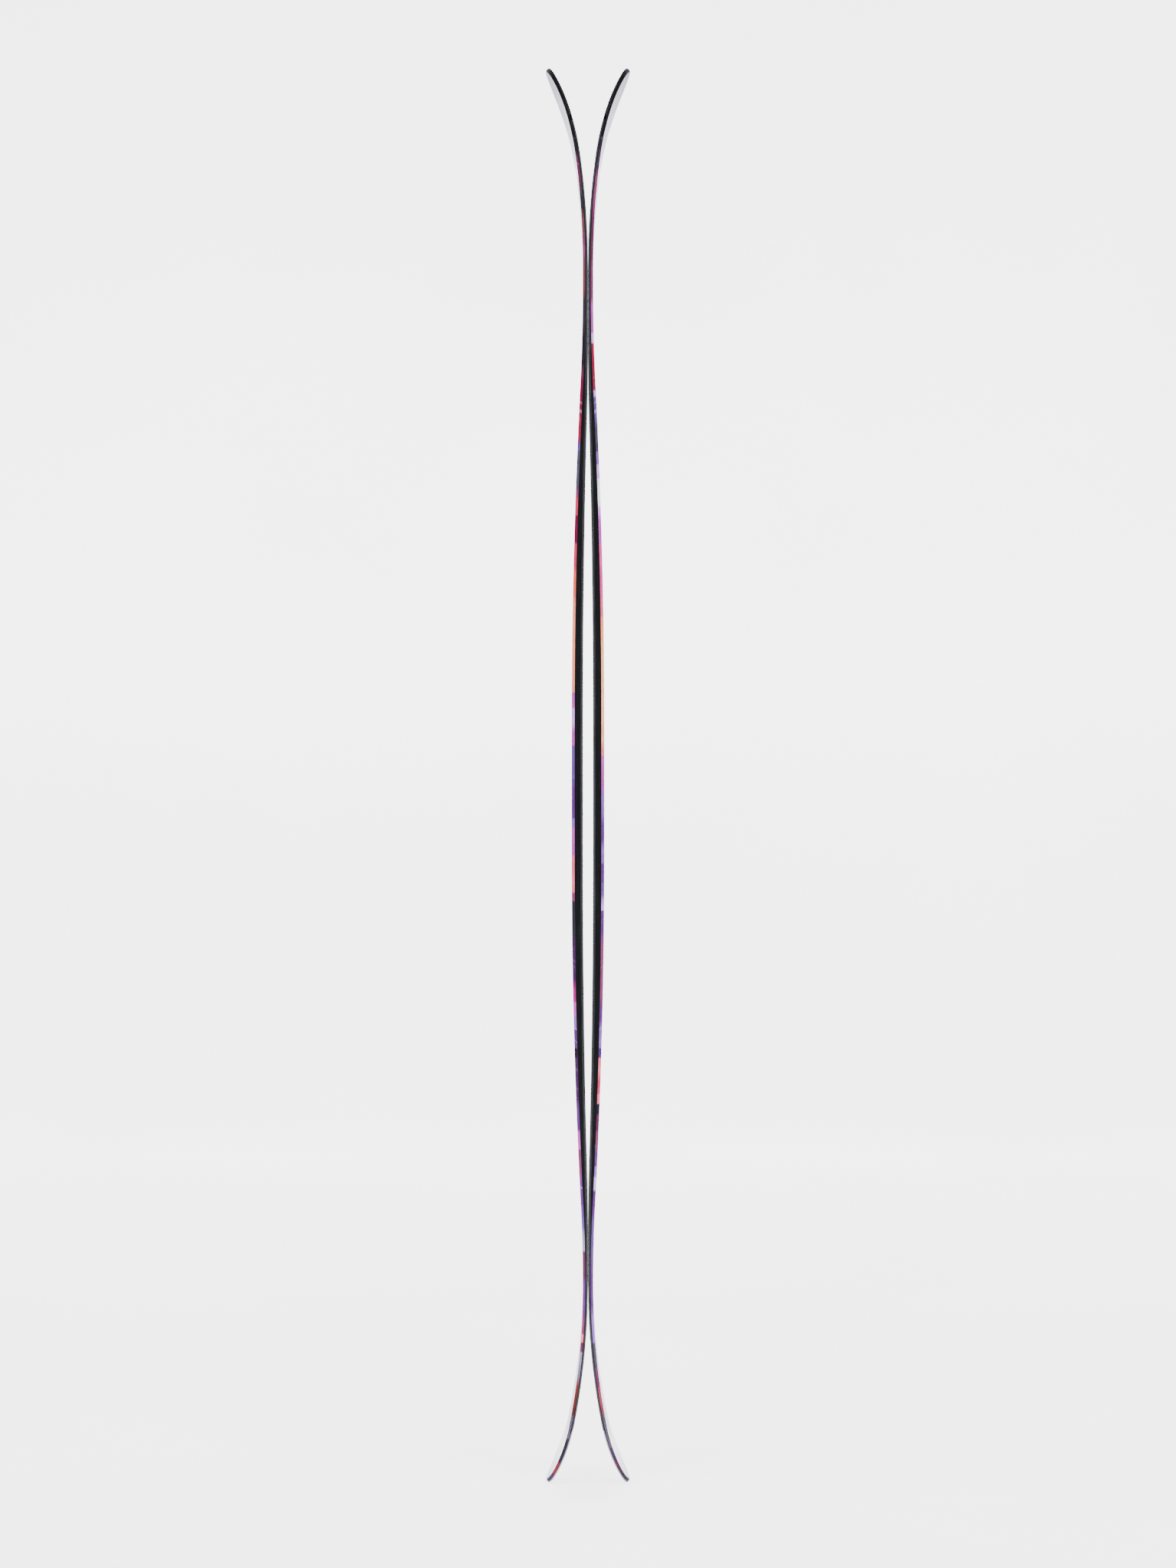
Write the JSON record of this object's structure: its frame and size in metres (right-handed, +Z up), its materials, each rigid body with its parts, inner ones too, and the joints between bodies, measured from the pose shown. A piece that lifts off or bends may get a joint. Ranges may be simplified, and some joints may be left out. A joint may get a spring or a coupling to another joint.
{
  "type": "pair of twin-tip alpine skis",
  "caption": "Pair of twin-tip alpine skis stored base to base, steel-edged wood-core sandwiches with printed topsheets and no bindings fitted.",
  "frame": {"origin": "floor point midway between the two tails, under the centre of the pair standing base to base", "axes": "+Z up from the tails to the tips, X the ski's thickness with the right ski at +X, Y the ski's width"},
  "size_m": [0.1062, 0.13, 1.78],
  "materials": {
    "sintered_base": "waxed sintered polyethylene with a fine stone-ground structure",
    "edge_steel": "ground hardened steel, darkened",
    "damping_rubber": "matt",
    "glass_laminate": "glass cloth in clear resin",
    "sidewall_abs": "satin, sanded along its length",
    "spacer_plastic": "matt",
    "plate_alloy": "rolled",
    "ash_wood": "planed",
    "poplar_wood": "planed",
    "left_topsheet": "gloss printed collage of crimson, coral, violet and indigo",
    "right_topsheet": "gloss printed collage of peach, pink, lilac and indigo"
  },
  "bodies": {
    "left_ski": {"left_running_base": "sintered_base", "left_inner_edge": "edge_steel", "left_outer_edge": "edge_steel", "left_inner_damping_strip": "damping_rubber", "left_outer_damping_strip": "damping_rubber", "left_filler_ply": "glass_laminate", "left_lower_ply": "glass_laminate", "left_inner_sidewall": "sidewall_abs", "left_outer_sidewall": "sidewall_abs", "left_tip_spacer": "spacer_plastic", "left_tail_spacer": "spacer_plastic", "left_poplar_core": "poplar_wood", "left_ash_stringers": "ash_wood", "left_mounting_plate": "plate_alloy", "left_upper_ply": "glass_laminate", "left_topsheet": "left_topsheet"},
    "right_ski": {"right_running_base": "sintered_base", "right_inner_edge": "edge_steel", "right_outer_edge": "edge_steel", "right_inner_damping_strip": "damping_rubber", "right_outer_damping_strip": "damping_rubber", "right_filler_ply": "glass_laminate", "right_lower_ply": "glass_laminate", "right_inner_sidewall": "sidewall_abs", "right_outer_sidewall": "sidewall_abs", "right_tip_spacer": "spacer_plastic", "right_tail_spacer": "spacer_plastic", "right_poplar_core": "poplar_wood", "right_ash_stringers": "ash_wood", "right_mounting_plate": "plate_alloy", "right_upper_ply": "glass_laminate", "right_topsheet": "right_topsheet"}
  },
  "joints": [
    {"name": "pair_separation", "type": "slide", "parent": "left_ski", "child": "right_ski", "axis": [1, 0, 0], "range_m": [0, 0.3]}
  ]
}
